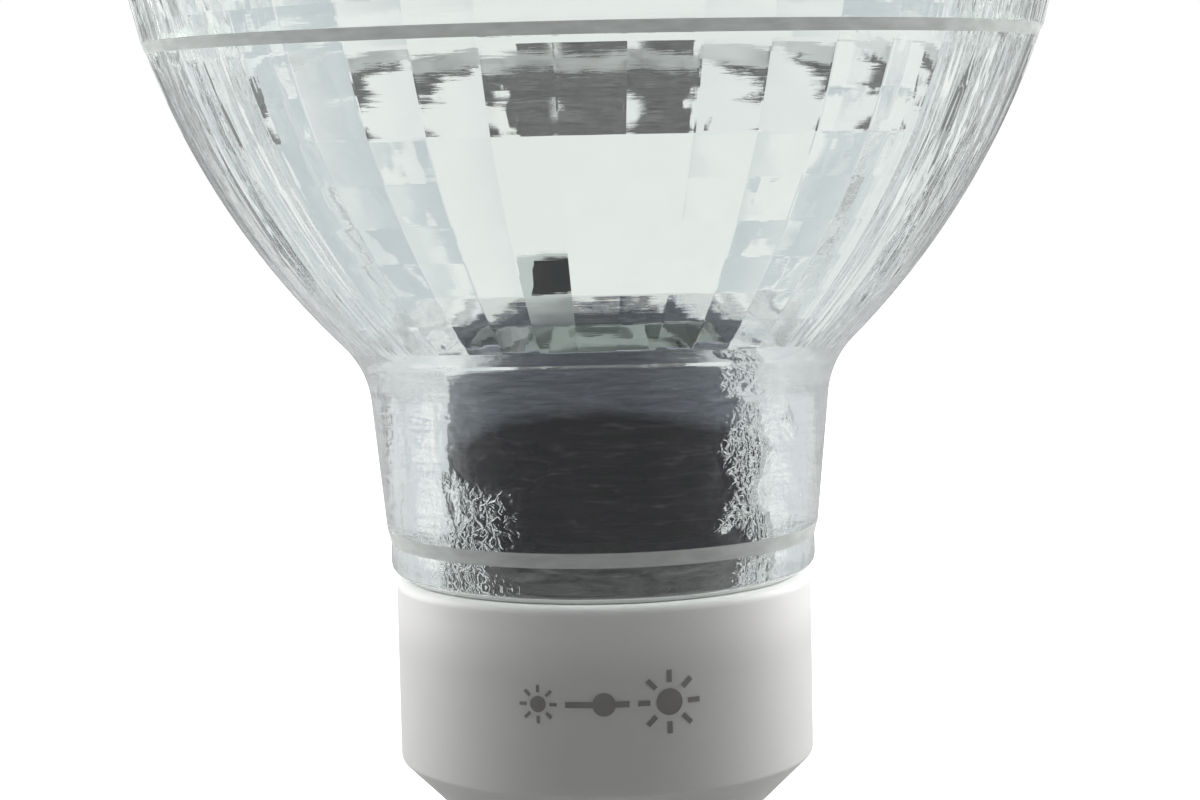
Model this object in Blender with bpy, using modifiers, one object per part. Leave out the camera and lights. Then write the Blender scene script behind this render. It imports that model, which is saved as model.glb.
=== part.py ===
"""A smart reflector lamp on a GU10 twist-lock base.

A clear pressed-glass cup with a faceted inside stands on a white plastic base with two headed
contact pins. The LED board lies at the foot of the cup, and the driver and the radio board stand
in a dark sleeve below it, in the glass neck and the base.

The named sizes are millimetres, and MM turns them into metres. The origin is the centre of the
base's flat bottom face. +Z runs along the lamp's axis to the front lens. The contact pins stand on
the X axis and point down.
"""

import math

import bpy
from mathutils import Vector

MM = 0.001
GAP = 0.3
MERGE_DISTANCE = 0.000001
CUTTER_REACH = 1.0

# Contact pins, from the base's bottom face down
PIN_SPACING = 10.0
PIN_LENGTH = 7.3
PIN_HEAD_LENGTH = 2.8
PIN_HEAD_RADIUS = 2.5
PIN_NECK_RADIUS = 1.5
PIN_RIVET_RADIUS = 2.3
PIN_TIP_RADIUS = 0.8
PIN_TIP_TOP = 3.4
PIN_RIVET_THICKNESS = 0.4
PIN_END_ROUND = 0.5
PIN_RECESS_RADIUS = 2.9
PIN_RECESS_DEPTH = 0.4

# Base collar
BASE_RADIUS = 11.35
BASE_CHAMFER = 2.6
BASE_TOP = 12.5
BASE_FLOOR = 1.8
BASE_BORE = 9.9
BASE_EDGE_ROUND = 0.5

# Glass cup: the outer heights and radii, from the foot to the rim
FOOT_BOTTOM = BASE_TOP + GAP
FOOT_RADIUS = 11.6
FOOT_ROUND = 0.4
NECK_RING_BOTTOM = 14.5
NECK_RING_TOP = 15.3
NECK_RING_STEP = 0.2
NECK_RADIUS_LOW = 11.78
NECK_RADIUS_HIGH = 12.45
NECK_TOP = 22.4
BOWL_FOOT = (13.8, 25.2)
BOWL_TOP = (23.72, 41.0)
BOWL_ARC_RADIUS = 42.0
SHOULDER_ARC_RADIUS = 5.0
RIM_RING_TOP = 41.6
RIM_RING_STEP = 0.28
RIM_RADIUS = 25.0
RIM_FLARE_TOP = 45.6
RIM_TOP = 46.7
RIM_ROUND = 0.3

# Glass cup: the bore, the facet rows and the seat of the front lens
NECK_BORE = 9.2
BORE_TOP = 26.0
GLASS_WALL = 2.0
WALL_WAIST_HEIGHT = 36.75
WALL_GROWTH = 0.04
FACETS_AROUND = 40
FACET_ROW_HEIGHTS = (1.45, 1.45, 1.65, 1.75, 2.05, 2.05, 2.1, 2.1, 2.1)
FACETS_BOTTOM = 26.35
LENS_SEAT = 44.2
LENS_SEAT_RADIUS = 22.5
LENS_BORE = 23.6

# Front lens and its bead
SEAL_INNER_RADIUS = 22.7
SEAL_HEIGHT = 0.4
LENS_THICKNESS = 1.3
LENS_EDGE_WIDTH = 1.2
LENS_RECESS = 0.3
SMALL_CHAMFER = 0.2

# LED board and what it bears on
LED_BOARD_RADIUS = 7.3
LED_BOARD_BOTTOM = 23.9
LED_BOARD_THICKNESS = 1.0
LED_BOARD_TOP = LED_BOARD_BOTTOM + LED_BOARD_THICKNESS
RING_PLACES = 10
RING_RADIUS = 5.6
RING_START_DEG = 124.3
SCREW_PLACES = (2, 7)
WARM_PLACES = (1, 4, 6, 9)
COOL_PLACES = (3, 5, 8)
WHITE_LED_SIZE = (1.6, 2.0, 0.5)
WHITE_LED_ROUND = 0.12
COLOUR_LED_SIZE = (5.0, 5.0, 0.6)
COLOUR_LED_ROUND = 0.15
COLOUR_LED_WELL_RADIUS = 2.0
COLOUR_LED_WELL_DEPTH = 0.2
SCREW_HEAD_RADIUS = 1.3
SCREW_HEAD_HEIGHT = 0.9
SCREW_SHANK_RADIUS = 0.75
SCREW_LENGTH = 4.2
SCREW_SLOT_SIZE = (1.5, 0.35)
SCREW_SLOT_DEPTH = 0.5
PAD_RADIUS = 6.8
PAD_THICKNESS = 0.5
SPREADER_RADIUS = 7.8
SPREADER_PLATE = 1.0
SPREADER_WALL = 0.8
SPREADER_HEIGHT = 2.5

# Sleeve, driver board and radio board
SLEEVE_RADIUS = 8.5
SLEEVE_WALL = 0.4
SLEEVE_BOTTOM = 6.0
SLEEVE_TOP = LED_BOARD_TOP + 1.1
BOARD_THICKNESS = 1.0
DRIVER_BOARD_Y = 1.0
DRIVER_BOARD_HALF_WIDTH = 7.3
DRIVER_BOARD_BOTTOM = 4.9
DRIVER_BOARD_TOP = 19.9
RADIO_BOARD_Y = 4.3
RADIO_BOARD_THICKNESS = 0.8
RADIO_BOARD_LEFT = -5.9
RADIO_BOARD_RIGHT = 1.5
RADIO_BOARD_BOTTOM = 11.6
RADIO_BOARD_SHOULDER = 19.9
TONGUE_CENTRE_X = -2.85
TONGUE_WIDTH = 2.1
TONGUE_TOP = 29.7
ADHESIVE_BOTTOM = 9.8

# Parts on the radio board: (left, right, bottom, top) and how far they stand off it
ANTENNA_SPAN = (-3.3, -2.0, 27.7, 29.6)
ANTENNA_THICKNESS = 0.6
SHIELD_CAN_SPAN = (-4.2, 0.3, 12.6, 19.2)
SHIELD_CAN_THICKNESS = 1.3
HEADER_SPAN = (-5.2, 0.8, 12.0, 13.6)

# Chips on the back of the driver board, as above
BRIDGE_SPAN = (-6.0, -1.3, 6.5, 10.5)
DRIVER_CHIP_SPAN = (1.2, 5.1, 6.2, 11.1)
CHIP_THICKNESS = 1.5
CHIP_ROUND = 0.12

# Round driver parts: (x, y), radius, bottom and top
INPUT_CAPACITOR = ((-3.3, -3.2), 3.15, 8.5, 19.5)
OUTPUT_CAPACITOR = ((4.2, 4.0), 1.9, 12.4, 18.4)
INDUCTOR = ((4.0, -2.6), 2.6, 13.5, 18.5)
INDUCTOR_WAIST_RADIUS = 1.2
INDUCTOR_FLANGE = 0.8
FILM_CAPACITOR_LOW = (1.75, -4.4, 6.4)
FILM_CAPACITOR_HIGH = (6.25, -0.4, 12.2)
FUSE_CENTRE = (-3.2, -3.2, 7.0)
FUSE_RADIUS = 1.1
FUSE_HALF_LENGTH = 2.4
FUSE_LEAD_RADIUS = 0.3
FUSE_LEAD_REACH = 3.4
PIN_WIRE_RADIUS = 0.45

ROUND_STEPS = 48
SMALL_STEPS = 24
LEAD_STEPS = 16

# name: colour, roughness, metallic
FINISHES = {
    "clear_glass": ((0.86, 0.9, 0.88, 1.0), 0.05, 0.0),
    "lens_plastic": ((0.9, 0.92, 0.92, 1.0), 0.3, 0.0),
    "white_plastic": ((0.82, 0.82, 0.81, 1.0), 0.45, 0.0),
    "silicone": ((0.8, 0.8, 0.78, 1.0), 0.6, 0.0),
    "nickel_plate": ((0.78, 0.76, 0.72, 1.0), 0.25, 1.0),
    "aluminium": ((0.72, 0.73, 0.74, 1.0), 0.35, 1.0),
    "steel": ((0.6, 0.6, 0.62, 1.0), 0.3, 1.0),
    "sleeve_film": ((0.03, 0.03, 0.04, 1.0), 0.3, 0.0),
    "white_board": ((0.72, 0.76, 0.73, 1.0), 0.4, 0.0),
    "green_board": ((0.04, 0.2, 0.1, 1.0), 0.4, 0.0),
    "black_package": ((0.03, 0.03, 0.03, 1.0), 0.5, 0.0),
    "phosphor": ((0.9, 0.75, 0.2, 1.0), 0.5, 0.0),
    "pale_phosphor": ((0.92, 0.88, 0.5, 1.0), 0.5, 0.0),
    "capacitor_film": ((0.05, 0.06, 0.1, 1.0), 0.35, 0.0),
    "film_box": ((0.75, 0.5, 0.1, 1.0), 0.4, 0.0),
    "ferrite": ((0.1, 0.1, 0.1, 1.0), 0.6, 0.0),
    "copper_wire": ((0.7, 0.32, 0.14, 1.0), 0.35, 1.0),
    "resistor_body": ((0.3, 0.45, 0.35, 1.0), 0.5, 0.0),
    "red_insulation": ((0.55, 0.05, 0.04, 1.0), 0.5, 0.0),
    "blue_insulation": ((0.05, 0.1, 0.45, 1.0), 0.5, 0.0),
    "grey_pad": ((0.4, 0.42, 0.45, 1.0), 0.8, 0.0),
}


def clear_scene():
    for item in list(bpy.data.objects):
        bpy.data.objects.remove(item)


def new_collection(name):
    group = bpy.data.collections.new(name)
    bpy.context.scene.collection.children.link(group)
    return group


def make_material(name):
    colour, roughness, metallic = FINISHES[name]
    material = bpy.data.materials.new(name)
    material.use_nodes = True
    shader = material.node_tree.nodes["Principled BSDF"]
    shader.inputs["Base Color"].default_value = colour
    shader.inputs["Roughness"].default_value = roughness
    shader.inputs["Metallic"].default_value = metallic
    return material


clear_scene()
PARTS = new_collection("smart_light_bulb")
CUTTERS = new_collection("cutters")
MATERIALS = {name: make_material(name) for name in FINISHES}


# --- Modelling helpers -------------------------------------------------------------------------


def put_in(obj, group):
    for old in list(obj.users_collection):
        old.objects.unlink(obj)
    group.objects.link(obj)


def finish_part(obj, finish):
    put_in(obj, PARTS)
    obj.data.materials.clear()
    obj.data.materials.append(MATERIALS[finish])
    return obj


def as_cutter(obj):
    put_in(obj, CUTTERS)
    obj.hide_render = True
    obj.display_type = "WIRE"
    return obj


def cut(obj, cutter):
    """Takes a cutter's shape out of a part."""
    boolean = obj.modifiers.new("cut_" + cutter.name, "BOOLEAN")
    boolean.operation = "DIFFERENCE"
    boolean.solver = "EXACT"
    boolean.object = as_cutter(cutter)


def turned(name, profile, steps=ROUND_STEPS, centre=(0.0, 0.0, 0.0)):
    """A turned solid. The profile is (radius, height) points that run down the outer side from the
    top; it closes on itself, unless it starts and ends on the axis."""
    on_axis = profile[0][0] == 0 and profile[-1][0] == 0
    mesh = bpy.data.meshes.new(name)
    points = [(radius * MM, 0.0, height * MM) for radius, height in profile]
    edges = [(i, i + 1) for i in range(len(points) - 1)]
    if not on_axis:
        edges.append((len(points) - 1, 0))
    mesh.from_pydata(points, edges, [])
    obj = bpy.data.objects.new(name, mesh)
    PARTS.objects.link(obj)
    obj.location = Vector(centre) * MM
    screw = obj.modifiers.new("turn", "SCREW")
    screw.steps = steps
    screw.render_steps = steps
    screw.use_merge_vertices = True
    screw.merge_threshold = MERGE_DISTANCE
    screw.use_smooth_shade = True
    return obj


def box(name, centre, size, edge_round=0.0, turn_deg=0.0):
    """A block with its edges rounded by edge_round, turned about its own vertical axis."""
    bpy.ops.mesh.primitive_cube_add(size=1.0)
    obj = bpy.context.active_object
    obj.name = name
    obj.data.name = name
    for vertex in obj.data.vertices:
        vertex.co = Vector(c * s * MM for c, s in zip(vertex.co, size))
    obj.location = Vector(centre) * MM
    obj.rotation_euler.z = math.radians(turn_deg)
    if edge_round:
        bevel = obj.modifiers.new("edges", "BEVEL")
        bevel.width = edge_round * MM
        bevel.segments = 2
    return obj


def span_box(name, low, high, edge_round=0.0):
    """A block between two corners."""
    centre = [(a + b) / 2 for a, b in zip(low, high)]
    size = [b - a for a, b in zip(low, high)]
    return box(name, centre, size, edge_round)


def cylinder(name, radius, low, high, x=0.0, y=0.0):
    """A plain upright cylinder between two heights, used to cut round holes."""
    bpy.ops.mesh.primitive_cylinder_add(
        vertices=SMALL_STEPS,
        radius=radius * MM,
        depth=(high - low) * MM,
        location=(x * MM, y * MM, (low + high) / 2 * MM),
    )
    obj = bpy.context.active_object
    obj.name = name
    return obj


def circle_outline(radius, steps, x=0.0, y=0.0):
    turns = [2 * math.pi * i / steps for i in range(steps)]
    return [(x + radius * math.cos(t), y + radius * math.sin(t)) for t in turns]


def flat_plate(name, outlines, thickness, bottom=0.0):
    """A plate cut to the first outline, with the other outlines as holes."""
    curve = bpy.data.curves.new(name, "CURVE")
    curve.dimensions = "2D"
    curve.fill_mode = "BOTH"
    curve.extrude = thickness / 2 * MM
    for outline in outlines:
        spline = curve.splines.new("POLY")
        spline.points.add(len(outline) - 1)
        spline.use_cyclic_u = True
        for point, (x, y) in zip(spline.points, outline):
            point.co = (x * MM, y * MM, 0.0, 1.0)
    obj = bpy.data.objects.new(name, curve)
    PARTS.objects.link(obj)
    obj.location.z = (bottom + thickness / 2) * MM
    return obj


def standing_plate(name, outline, thickness, y):
    """A plate in an upright plane: the outline's points are (x, z)."""
    obj = flat_plate(name, [outline], thickness)
    obj.rotation_euler.x = math.radians(90)
    obj.location = (0.0, y * MM, 0.0)
    return obj


def wire(name, points, radius):
    curve = bpy.data.curves.new(name, "CURVE")
    curve.dimensions = "3D"
    curve.bevel_depth = radius * MM
    curve.bevel_resolution = 2
    curve.use_fill_caps = True
    spline = curve.splines.new("POLY")
    spline.points.add(len(points) - 1)
    for point, place in zip(spline.points, points):
        point.co = (*(Vector(place) * MM), 1.0)
    obj = bpy.data.objects.new(name, curve)
    PARTS.objects.link(obj)
    return obj


def arc(start, end, radius, steps):
    """Points after start, up to and with end, on an arc that bulges to the left of the way from
    start to end, or to the right of it if radius is negative."""
    start = Vector(start)
    end = Vector(end)
    way = end - start
    left = Vector((-way.y, way.x)).normalized()
    reach = math.sqrt(radius**2 - (way.length / 2) ** 2)
    centre = (start + end) / 2 - left * math.copysign(reach, radius)
    turn = (end - centre).angle_signed(start - centre)
    points = []
    for i in range(1, steps + 1):
        angle = turn * i / steps
        spoke = start - centre
        c = math.cos(angle)
        s = math.sin(angle)
        points.append((centre.x + spoke.x * c - spoke.y * s, centre.y + spoke.x * s + spoke.y * c))
    return points


def ring_place(place):
    """Where one of the places round the LED board is: x, y and its angle in degrees."""
    angle = RING_START_DEG + 360.0 * place / RING_PLACES
    turn = math.radians(angle)
    return RING_RADIUS * math.cos(turn), RING_RADIUS * math.sin(turn), angle


def tongue_slot(clearance):
    """The outline of the slot that the radio board's tongue passes through."""
    half_x = TONGUE_WIDTH / 2 + clearance
    half_y = RADIO_BOARD_THICKNESS / 2 + clearance
    x = TONGUE_CENTRE_X
    y = RADIO_BOARD_Y
    signs = ((-1, -1), (1, -1), (1, 1), (-1, 1))
    return [(x + sign_x * half_x, y + sign_y * half_y) for sign_x, sign_y in signs]


def screw_holes():
    holes = []
    for place in SCREW_PLACES:
        x, y, _ = ring_place(place)
        holes.append(circle_outline(SCREW_SHANK_RADIUS + GAP, SMALL_STEPS, x, y))
    return holes


# --- Glass, lens and base ----------------------------------------------------------------------


def bowl_radius(height):
    """The outer radius of the cup's bowl at a height, on the arc that turned() also follows."""
    foot = Vector(BOWL_FOOT)
    top = Vector(BOWL_TOP)
    way = foot - top
    left = Vector((-way.y, way.x)).normalized()
    reach = math.sqrt(BOWL_ARC_RADIUS**2 - (way.length / 2) ** 2)
    centre = (foot + top) / 2 - left * reach
    return centre.x + math.sqrt(BOWL_ARC_RADIUS**2 - (height - centre.y) ** 2)


def facet_rows():
    """The inner corners of the facet rows, from the bottom up. The wall is thinnest at its waist."""
    heights = [FACETS_BOTTOM]
    for row in FACET_ROW_HEIGHTS:
        heights.append(heights[-1] + row)
    small = 0.01
    rows = []
    for height in heights:
        slope = (bowl_radius(height + small) - bowl_radius(height)) / small
        wall = GLASS_WALL + WALL_GROWTH * abs(height - WALL_WAIST_HEIGHT)
        rows.append((bowl_radius(height) - wall * math.hypot(1.0, slope), height))
    return rows


def make_glass_cup():
    outer = [
        (RIM_RADIUS - RIM_ROUND, RIM_TOP),
        (RIM_RADIUS, RIM_TOP - RIM_ROUND),
        (RIM_RADIUS, RIM_FLARE_TOP),
        (BOWL_TOP[0] + RIM_RING_STEP, RIM_RING_TOP),
        BOWL_TOP,
    ]
    outer += arc(BOWL_TOP, BOWL_FOOT, BOWL_ARC_RADIUS, 12)
    outer += arc(BOWL_FOOT, (NECK_RADIUS_HIGH, NECK_TOP), -SHOULDER_ARC_RADIUS, 4)
    outer += [
        (NECK_RADIUS_LOW, NECK_RING_TOP),
        (NECK_RADIUS_LOW - NECK_RING_STEP, NECK_RING_BOTTOM),
        (FOOT_RADIUS, FOOT_BOTTOM + FOOT_ROUND),
        (FOOT_RADIUS - FOOT_ROUND, FOOT_BOTTOM),
    ]
    inner = [(NECK_BORE, FOOT_BOTTOM), (NECK_BORE, BORE_TOP)]
    inner += facet_rows()
    inner += [(LENS_SEAT_RADIUS, LENS_SEAT), (LENS_BORE, LENS_SEAT), (LENS_BORE, RIM_TOP)]
    finish_part(turned("glass_cup", outer + inner, FACETS_AROUND), "clear_glass")


def make_lens():
    seal_bottom = LENS_SEAT + GAP
    seal_top = seal_bottom + SEAL_HEIGHT
    seal_radius = LENS_BORE - GAP
    seal = [
        (seal_radius, seal_top),
        (seal_radius, seal_bottom),
        (SEAL_INNER_RADIUS, seal_bottom),
        (SEAL_INNER_RADIUS, seal_top),
    ]
    finish_part(turned("lens_seal_ring", seal), "silicone")

    lens_bottom = seal_top + GAP
    lens_top = lens_bottom + LENS_THICKNESS
    inset = seal_radius - LENS_EDGE_WIDTH
    lens = [
        (0.0, lens_top),
        (seal_radius - SMALL_CHAMFER, lens_top),
        (seal_radius, lens_top - SMALL_CHAMFER),
        (seal_radius, lens_bottom),
        (inset, lens_bottom),
        (inset - LENS_RECESS, lens_bottom + LENS_RECESS),
        (0.0, lens_bottom + LENS_RECESS),
    ]
    finish_part(turned("front_lens", lens), "lens_plastic")


def make_base():
    """The collar, bored out from its top, with a riveted hole and a recess for each pin."""
    half_round = BASE_EDGE_ROUND * (1 - math.sqrt(0.5))
    profile = [
        (BASE_RADIUS - BASE_EDGE_ROUND, BASE_TOP),
        (BASE_RADIUS - half_round, BASE_TOP - half_round),
        (BASE_RADIUS, BASE_TOP - BASE_EDGE_ROUND),
        (BASE_RADIUS, BASE_CHAMFER),
        (BASE_RADIUS - BASE_CHAMFER, 0.0),
        (0.0, 0.0),
    ]
    shell = turned("base_shell", [(0.0, BASE_TOP)] + profile)
    above = BASE_TOP + CUTTER_REACH
    bore = [(0.0, above), (BASE_BORE, above), (BASE_BORE, BASE_FLOOR), (0.0, BASE_FLOOR)]
    cut(shell, turned("base_bore", bore))
    for side in (-1, 1):
        x = side * PIN_SPACING / 2
        hole_radius = PIN_NECK_RADIUS + GAP
        cut(shell, cylinder("pin_hole", hole_radius, -CUTTER_REACH, BASE_FLOOR + CUTTER_REACH, x))
        cut(shell, cylinder("pin_recess", PIN_RECESS_RADIUS, -CUTTER_REACH, PIN_RECESS_DEPTH, x))
    finish_part(shell, "white_plastic")


def make_contact_pin(name, x):
    """A headed pin, riveted over the base's floor, with a solder tip on top."""
    rivet_bottom = BASE_FLOOR + GAP
    head_top = PIN_HEAD_LENGTH - PIN_LENGTH
    half_round = PIN_END_ROUND * (1 - math.sqrt(0.5))
    profile = [
        (0.0, PIN_TIP_TOP),
        (PIN_TIP_RADIUS - SMALL_CHAMFER, PIN_TIP_TOP),
        (PIN_TIP_RADIUS, PIN_TIP_TOP - SMALL_CHAMFER),
        (PIN_TIP_RADIUS, rivet_bottom + PIN_RIVET_THICKNESS),
        (PIN_RIVET_RADIUS, rivet_bottom + PIN_RIVET_THICKNESS),
        (PIN_RIVET_RADIUS, rivet_bottom),
        (PIN_NECK_RADIUS, rivet_bottom),
        (PIN_NECK_RADIUS, head_top),
        (PIN_HEAD_RADIUS - SMALL_CHAMFER, head_top),
        (PIN_HEAD_RADIUS, head_top - SMALL_CHAMFER),
        (PIN_HEAD_RADIUS, -PIN_LENGTH + PIN_END_ROUND),
        (PIN_HEAD_RADIUS - half_round, -PIN_LENGTH + half_round),
        (PIN_HEAD_RADIUS - PIN_END_ROUND, -PIN_LENGTH),
        (0.0, -PIN_LENGTH),
    ]
    finish_part(turned(name, profile, SMALL_STEPS, (x, 0.0, 0.0)), "nickel_plate")


def make_adhesive_ring():
    inner = SLEEVE_RADIUS + GAP
    outer = BASE_BORE - GAP
    profile = [(outer, BASE_TOP), (outer, ADHESIVE_BOTTOM), (inner, ADHESIVE_BOTTOM), (inner, BASE_TOP)]
    finish_part(turned("adhesive_ring", profile), "silicone")


# --- LED board and its seat --------------------------------------------------------------------


def make_led_board():
    outlines = [circle_outline(LED_BOARD_RADIUS, ROUND_STEPS), tongue_slot(GAP)] + screw_holes()
    finish_part(flat_plate("led_board", outlines, LED_BOARD_THICKNESS, LED_BOARD_BOTTOM), "white_board")


def make_thermal_pad():
    outlines = [circle_outline(PAD_RADIUS, ROUND_STEPS), tongue_slot(GAP)] + screw_holes()
    bottom = LED_BOARD_BOTTOM - GAP - PAD_THICKNESS
    finish_part(flat_plate("thermal_pad", outlines, PAD_THICKNESS, bottom), "grey_pad")


def make_heat_spreader():
    """An aluminium cup, open below, that carries the LED board's heat to the sleeve's wall."""
    top = LED_BOARD_BOTTOM - PAD_THICKNESS - 2 * GAP
    profile = [
        (0.0, top),
        (SPREADER_RADIUS - SMALL_CHAMFER, top),
        (SPREADER_RADIUS, top - SMALL_CHAMFER),
        (SPREADER_RADIUS, top - SPREADER_HEIGHT),
        (SPREADER_RADIUS - SPREADER_WALL, top - SPREADER_HEIGHT),
        (SPREADER_RADIUS - SPREADER_WALL, top - SPREADER_PLATE),
        (0.0, top - SPREADER_PLATE),
    ]
    spreader = turned("heat_spreader", profile)
    half = (TONGUE_WIDTH / 2 + GAP, RADIO_BOARD_THICKNESS / 2 + GAP)
    below = top - SPREADER_HEIGHT - CUTTER_REACH
    above = top + CUTTER_REACH
    low = (TONGUE_CENTRE_X - half[0], RADIO_BOARD_Y - half[1], below)
    high = (TONGUE_CENTRE_X + half[0], RADIO_BOARD_Y + half[1], above)
    cut(spreader, span_box("spreader_slot", low, high))
    for place in SCREW_PLACES:
        x, y, _ = ring_place(place)
        cut(spreader, cylinder("spreader_hole", SCREW_SHANK_RADIUS + GAP, below, above, x, y))
    finish_part(spreader, "aluminium")


def make_board_screw(number, place):
    x, y, angle = ring_place(place)
    seat = LED_BOARD_TOP + GAP
    top = seat + SCREW_HEAD_HEIGHT
    tip = top - SCREW_LENGTH
    taper = SCREW_SHANK_RADIUS / 2
    profile = [
        (0.0, top),
        (SCREW_HEAD_RADIUS * 0.7, top),
        (SCREW_HEAD_RADIUS, top - SCREW_HEAD_HEIGHT / 2),
        (SCREW_HEAD_RADIUS, seat),
        (SCREW_SHANK_RADIUS, seat),
        (SCREW_SHANK_RADIUS, tip + taper),
        (SCREW_SHANK_RADIUS - taper, tip),
        (0.0, tip),
    ]
    screw = turned(f"led_board_screw_{number}", profile, SMALL_STEPS, (x, y, 0.0))
    slot_height = SCREW_SLOT_DEPTH + CUTTER_REACH
    centre = (x, y, top - SCREW_SLOT_DEPTH + slot_height / 2)
    for turn in (0.0, 90.0):
        cut(screw, box("screw_slot", centre, (*SCREW_SLOT_SIZE, slot_height), turn_deg=angle + turn))
    finish_part(screw, "steel")


def make_white_led(name, place, finish):
    x, y, angle = ring_place(place)
    height = WHITE_LED_SIZE[2]
    centre = (x, y, LED_BOARD_TOP + GAP + height / 2)
    finish_part(box(name, centre, WHITE_LED_SIZE, WHITE_LED_ROUND, angle), finish)


def make_colour_led():
    height = COLOUR_LED_SIZE[2]
    bottom = LED_BOARD_TOP + GAP
    led = box("colour_led", (0.0, 0.0, bottom + height / 2), COLOUR_LED_SIZE, COLOUR_LED_ROUND)
    top = bottom + height
    well_bottom = top - COLOUR_LED_WELL_DEPTH
    cut(led, cylinder("colour_led_well", COLOUR_LED_WELL_RADIUS, well_bottom, top + CUTTER_REACH))
    finish_part(led, "black_package")


def make_leds():
    for number, place in enumerate(WARM_PLACES, 1):
        make_white_led(f"warm_led_{number}", place, "phosphor")
    for number, place in enumerate(COOL_PLACES, 1):
        make_white_led(f"cool_led_{number}", place, "pale_phosphor")
    make_colour_led()


# --- Driver and radio --------------------------------------------------------------------------


def make_sleeve():
    inner = SLEEVE_RADIUS - SLEEVE_WALL
    profile = [
        (SLEEVE_RADIUS, SLEEVE_TOP),
        (SLEEVE_RADIUS, SLEEVE_BOTTOM),
        (inner, SLEEVE_BOTTOM),
        (inner, SLEEVE_TOP),
    ]
    finish_part(turned("driver_sleeve", profile), "sleeve_film")


def make_driver_board():
    corner = 1.5
    half = DRIVER_BOARD_HALF_WIDTH
    low = DRIVER_BOARD_BOTTOM
    high = DRIVER_BOARD_TOP
    outline = [
        (-half + corner, low),
        (half - corner, low),
        (half, low + corner),
        (half, high - corner),
        (half - corner, high),
        (-half + corner, high),
        (-half, high - corner),
        (-half, low + corner),
    ]
    finish_part(standing_plate("driver_board", outline, BOARD_THICKNESS, DRIVER_BOARD_Y), "green_board")


def block_on_board(name, span, front, back, edge_round):
    """A block whose span is its (left, right, bottom, top), between two places on the Y axis."""
    left, right, bottom, top = span
    return span_box(name, (left, front, bottom), (right, back, top), edge_round)


def make_radio_board():
    left = TONGUE_CENTRE_X - TONGUE_WIDTH / 2
    right = TONGUE_CENTRE_X + TONGUE_WIDTH / 2
    outline = [
        (RADIO_BOARD_LEFT, RADIO_BOARD_BOTTOM),
        (RADIO_BOARD_RIGHT, RADIO_BOARD_BOTTOM),
        (RADIO_BOARD_RIGHT, RADIO_BOARD_SHOULDER),
        (right, RADIO_BOARD_SHOULDER),
        (right, TONGUE_TOP),
        (left, TONGUE_TOP),
        (left, RADIO_BOARD_SHOULDER),
        (RADIO_BOARD_LEFT, RADIO_BOARD_SHOULDER),
    ]
    board = standing_plate("wifi_module_board", outline, RADIO_BOARD_THICKNESS, RADIO_BOARD_Y)
    finish_part(board, "white_board")

    front = RADIO_BOARD_Y - RADIO_BOARD_THICKNESS / 2 - GAP
    back = RADIO_BOARD_Y + RADIO_BOARD_THICKNESS / 2 + GAP
    antenna = block_on_board("chip_antenna", ANTENNA_SPAN, front - ANTENNA_THICKNESS, front, 0.08)
    finish_part(antenna, "black_package")
    can = block_on_board("wifi_shield_can", SHIELD_CAN_SPAN, back, back + SHIELD_CAN_THICKNESS, 0.3)
    finish_part(can, "steel")
    driver_back = DRIVER_BOARD_Y + BOARD_THICKNESS / 2 + GAP
    header = block_on_board("module_header", HEADER_SPAN, driver_back, front, 0.1)
    finish_part(header, "black_package")


def make_electrolytic(name, place, radius, low, high):
    """A can in its film: a groove near the foot and a rolled rim round a sunk top."""
    sink = 0.15
    rim = 0.8 * radius
    groove_low = low + 1.0
    groove_depth = 0.25
    groove_half = 0.3
    profile = [
        (0.0, high - sink),
        (rim - sink, high - sink),
        (rim, high),
        (radius - SMALL_CHAMFER, high),
        (radius, high - SMALL_CHAMFER),
        (radius, groove_low + 2 * groove_half),
        (radius - groove_depth, groove_low + groove_half),
        (radius, groove_low),
        (radius, low + SMALL_CHAMFER),
        (radius - SMALL_CHAMFER, low),
        (0.0, low),
    ]
    finish_part(turned(name, profile, SMALL_STEPS, (*place, 0.0)), "capacitor_film")


def make_inductor(place, radius, low, high):
    """A drum core and its winding between the two flanges."""
    core = [
        (0.0, high),
        (radius, high),
        (radius, high - INDUCTOR_FLANGE),
        (INDUCTOR_WAIST_RADIUS, high - INDUCTOR_FLANGE),
        (INDUCTOR_WAIST_RADIUS, low + INDUCTOR_FLANGE),
        (radius, low + INDUCTOR_FLANGE),
        (radius, low),
        (0.0, low),
    ]
    finish_part(turned("inductor_core", core, SMALL_STEPS, (*place, 0.0)), "ferrite")
    inner = INDUCTOR_WAIST_RADIUS + GAP
    outer = radius - SMALL_CHAMFER
    top = high - INDUCTOR_FLANGE - GAP
    bottom = low + INDUCTOR_FLANGE + GAP
    winding = [(outer, top), (outer, bottom), (inner, bottom), (inner, top)]
    finish_part(turned("inductor_winding", winding, SMALL_STEPS, (*place, 0.0)), "copper_wire")


def make_fuse_resistor():
    """A barrel with a lead at each end, lying along the X axis."""
    end = FUSE_HALF_LENGTH
    bulge = end / 2
    waist = FUSE_RADIUS - 0.15
    upper = [
        (0.0, FUSE_LEAD_REACH),
        (FUSE_LEAD_RADIUS, FUSE_LEAD_REACH),
        (FUSE_LEAD_RADIUS, end),
        (FUSE_RADIUS - SMALL_CHAMFER, end),
        (FUSE_RADIUS, end - SMALL_CHAMFER),
        (FUSE_RADIUS, bulge),
        (waist, bulge - SMALL_CHAMFER),
    ]
    lower = [(radius, -height) for radius, height in reversed(upper)]
    resistor = turned("fuse_resistor", upper + lower, LEAD_STEPS, FUSE_CENTRE)
    resistor.rotation_euler.y = math.radians(90)
    finish_part(resistor, "resistor_body")


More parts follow.
